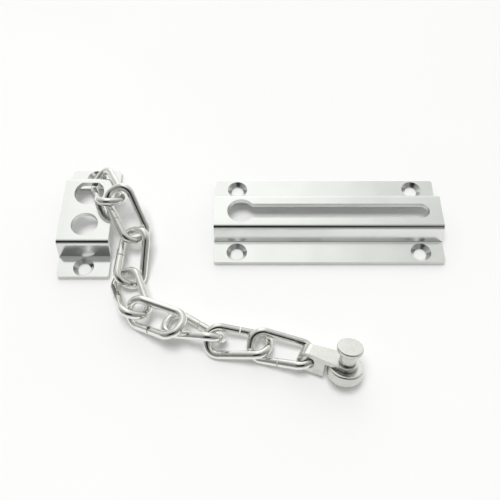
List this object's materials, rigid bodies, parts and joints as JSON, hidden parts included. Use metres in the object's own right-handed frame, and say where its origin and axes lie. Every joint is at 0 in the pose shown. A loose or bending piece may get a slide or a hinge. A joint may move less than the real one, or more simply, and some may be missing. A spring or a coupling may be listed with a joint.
{
  "type": "door chain",
  "caption": "Door security chain: folded keyhole slide plate, bridge bracket, chain of twisted wire links and an end tab with a swivelling stud that slides in the slot.",
  "frame": {"origin": "centre of the slide plate's screw pattern, on its back face", "axes": "+X along the slot from entry to end, +Z out of the door, +Y across the plate"},
  "size_m": [0.15, 0.097, 0.0188],
  "materials": {
    "plate": "bright satin plating",
    "wire": "bright plating",
    "fitting": "bright plating"
  },
  "bodies": {
    "plates": {"slide_plate": "plate", "jamb_bracket": "plate"},
    "link_1": {"link_1": "wire"},
    "link_2": {"link_2": "wire"},
    "link_3": {"link_3": "wire"},
    "link_4": {"link_4": "wire"},
    "link_5": {"link_5": "wire"},
    "link_6": {"link_6": "wire"},
    "link_7": {"link_7": "wire"},
    "link_8": {"link_8": "wire"},
    "end_tab": {"end_tab": "fitting"},
    "slide_stud": {"slide_stud": "fitting"}
  },
  "joints": [
    {"name": "link_1_swing", "type": "hinge", "parent": "plates", "child": "link_1", "pos_m": [-0.095, 0.01389, 0.008], "axis": [-1, 0, 0], "range_deg": [0, 10]},
    {"name": "link_2_swing", "type": "hinge", "parent": "link_1", "child": "link_2", "pos_m": [-0.08364, -0.00067, 0.01558], "axis": [-0.9109, -0.297, 0.2865], "range_deg": [0, 5]},
    {"name": "link_3_swing", "type": "hinge", "parent": "link_2", "child": "link_3", "pos_m": [-0.07376, -0.01243, 0.00656], "axis": [-0.6725, -0.6081, 0.422], "range_deg": [0, 45]},
    {"name": "link_4_swing", "type": "hinge", "parent": "link_3", "child": "link_4", "pos_m": [-0.07924, -0.02567, 0.00326], "axis": [-0.7701, -0.4288, -0.4724], "range_deg": [0, 45]},
    {"name": "link_5_swing", "type": "hinge", "parent": "link_4", "child": "link_5", "pos_m": [-0.07476, -0.04162, 0.0048], "axis": [-0.0985, -0.6369, -0.7646], "range_deg": [0, 60]},
    {"name": "link_6_swing", "type": "hinge", "parent": "link_5", "child": "link_6", "pos_m": [-0.05548, -0.05102, 0.01014], "axis": [-0.4644, -0.8753, 0.135], "range_deg": [0, 60]},
    {"name": "link_7_swing", "type": "hinge", "parent": "link_6", "child": "link_7", "pos_m": [-0.04613, -0.0532, 0.00387], "axis": [-0.0866, -0.853, -0.5147], "range_deg": [0, 45]},
    {"name": "link_8_swing", "type": "hinge", "parent": "link_7", "child": "link_8", "pos_m": [-0.02421, -0.0559, 0.00464], "axis": [-0.1234, -0.866, 0.4845], "range_deg": [0, 5]},
    {"name": "end_tab_swing", "type": "hinge", "parent": "link_8", "child": "end_tab", "pos_m": [-0.00903, -0.06007, 0.00488], "axis": [-0.2319, -0.9043, 0.3583], "range_deg": [-3, 35]},
    {"name": "stud_spin", "type": "hinge", "parent": "end_tab", "child": "slide_stud", "pos_m": [0.00222, -0.06535, 0.00595], "axis": [0.0933, 0.401, 0.9113], "continuous": true}
  ]
}
